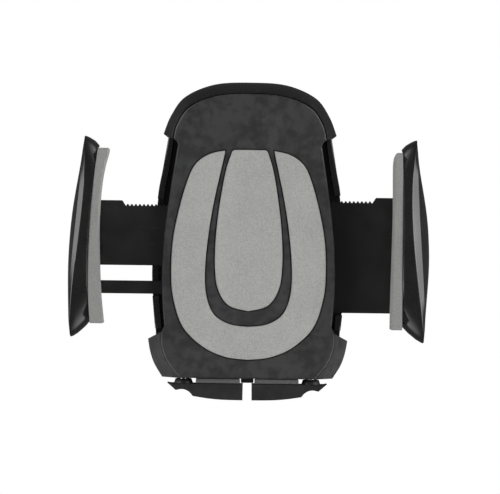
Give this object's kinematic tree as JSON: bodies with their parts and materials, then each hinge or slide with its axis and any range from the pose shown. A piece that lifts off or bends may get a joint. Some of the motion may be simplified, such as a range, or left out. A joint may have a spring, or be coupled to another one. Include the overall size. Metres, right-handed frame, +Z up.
{
  "type": "car phone mount",
  "caption": "Car phone cradle with two spring-loaded side jaws on rack sliders, fold-out feet, a rear release button, a ball joint with a lock nut and a spring clip for an air-vent blade.",
  "frame": {"origin": "middle of the slot between the vent clip's two jaw pads, which is where a vent blade holds the mount", "axes": "+X to the right of someone facing the phone, +Y back into the car's dashboard, +Z up"},
  "size_m": [0.1188, 0.0911, 0.1051],
  "materials": {
    "matte_grey": "fine matte texture",
    "gloss_black": "polished",
    "arm_black": "satin",
    "soft_grey": "matte, finely speckled",
    "grip_grey": "matte",
    "acetal": "smooth, slightly waxy",
    "steel": "zinc plated"
  },
  "bodies": {
    "clip": {"clip_frame": "matte_grey", "ball_stud": "gloss_black", "stud_nut": "steel", "clip_pin": "steel", "clip_spring": "steel", "lower_jaw_pad": "soft_grey"},
    "clip_jaw": {"clip_lever": "matte_grey", "upper_jaw_pad": "soft_grey"},
    "liner": {"ball_liner": "acetal"},
    "nut": {"lock_nut": "matte_grey"},
    "cradle": {"rear_housing": "gloss_black", "front_cover": "matte_grey", "centre_pad": "soft_grey", "outer_pad": "soft_grey", "socket_cup": "arm_black", "pinion_axle": "steel", "housing_screw_1": "steel", "housing_screw_2": "steel", "housing_screw_3": "steel", "housing_screw_4": "steel", "socket_screw_1": "steel", "socket_screw_2": "steel", "socket_screw_3": "steel", "socket_screw_4": "steel", "left_foot_screw": "steel", "right_foot_screw": "steel", "left_arm_spring": "steel", "right_arm_spring": "steel", "button_spring_1": "steel", "button_spring_2": "steel"},
    "left_slider": {"left_arm": "arm_black", "left_cheek": "gloss_black", "left_grip": "grip_grey", "left_cheek_screw_1": "steel", "left_cheek_screw_2": "steel"},
    "right_slider": {"right_arm": "arm_black", "right_cheek": "gloss_black", "right_grip": "grip_grey", "right_cheek_screw_1": "steel", "right_cheek_screw_2": "steel"},
    "gear": {"pinion": "acetal"},
    "button": {"release_button": "gloss_black"},
    "left_leg": {"left_foot": "matte_grey", "left_foot_pad": "soft_grey"},
    "right_leg": {"right_foot": "matte_grey", "right_foot_pad": "soft_grey"}
  },
  "joints": [
    {"name": "ball_tilt", "type": "hinge", "parent": "clip", "child": "liner", "pos_m": [0, -0.045, 0], "axis": [1, 0, 0], "range_deg": [-20, 20]},
    {"name": "ball_pan", "type": "hinge", "parent": "liner", "child": "nut", "pos_m": [0, -0.045, 0], "axis": [0, 0, 1], "range_deg": [-20, 20]},
    {"name": "cradle_spin", "type": "hinge", "parent": "nut", "child": "cradle", "pos_m": [0, -0.045, 0], "axis": [0, 1, 0], "continuous": true},
    {"name": "left_jaw_slide", "type": "slide", "parent": "cradle", "child": "left_slider", "axis": [1, 0, 0], "range_m": [0, 0.018], "stiffness_N_per_m": 60, "springref_m": -0.03, "deforming": ["left_arm_spring"]},
    {"name": "right_jaw_slide", "type": "slide", "parent": "cradle", "child": "right_slider", "axis": [-1, 0, 0], "range_m": [0, 0.018], "stiffness_N_per_m": 60, "springref_m": -0.03, "deforming": ["right_arm_spring"]},
    {"name": "pinion_spin", "type": "hinge", "parent": "cradle", "child": "gear", "pos_m": [0, -0.061, 0], "axis": [0, 1, 0], "range_deg": [0, 207]},
    {"name": "release_press", "type": "slide", "parent": "cradle", "child": "button", "axis": [0, -1, 0], "range_m": [0, 0.0026], "stiffness_N_per_m": 500, "springref_m": -0.003, "deforming": ["button_spring_1", "button_spring_2"]},
    {"name": "left_foot_swing", "type": "hinge", "parent": "cradle", "child": "left_leg", "pos_m": [-0.0211, -0.064, -0.0476], "axis": [0, 0, -1], "range_deg": [0, 90]},
    {"name": "right_foot_swing", "type": "hinge", "parent": "cradle", "child": "right_leg", "pos_m": [0.0211, -0.064, -0.0476], "axis": [0, 0, 1], "range_deg": [0, 90]},
    {"name": "clip_squeeze", "type": "hinge", "parent": "clip", "child": "clip_jaw", "pos_m": [0, -0.015, 0.0055], "axis": [1, 0, 0], "range_deg": [0, 18], "stiffness_Nm_per_rad": 0.3, "springref_deg": -28.65, "deforming": ["clip_spring"]}
  ],
  "couplings": [
    {"joint": "right_jaw_slide", "follows": "left_jaw_slide", "ratio": 1},
    {"joint": "pinion_spin", "follows": "left_jaw_slide", "rad_per_m": 200}
  ]
}
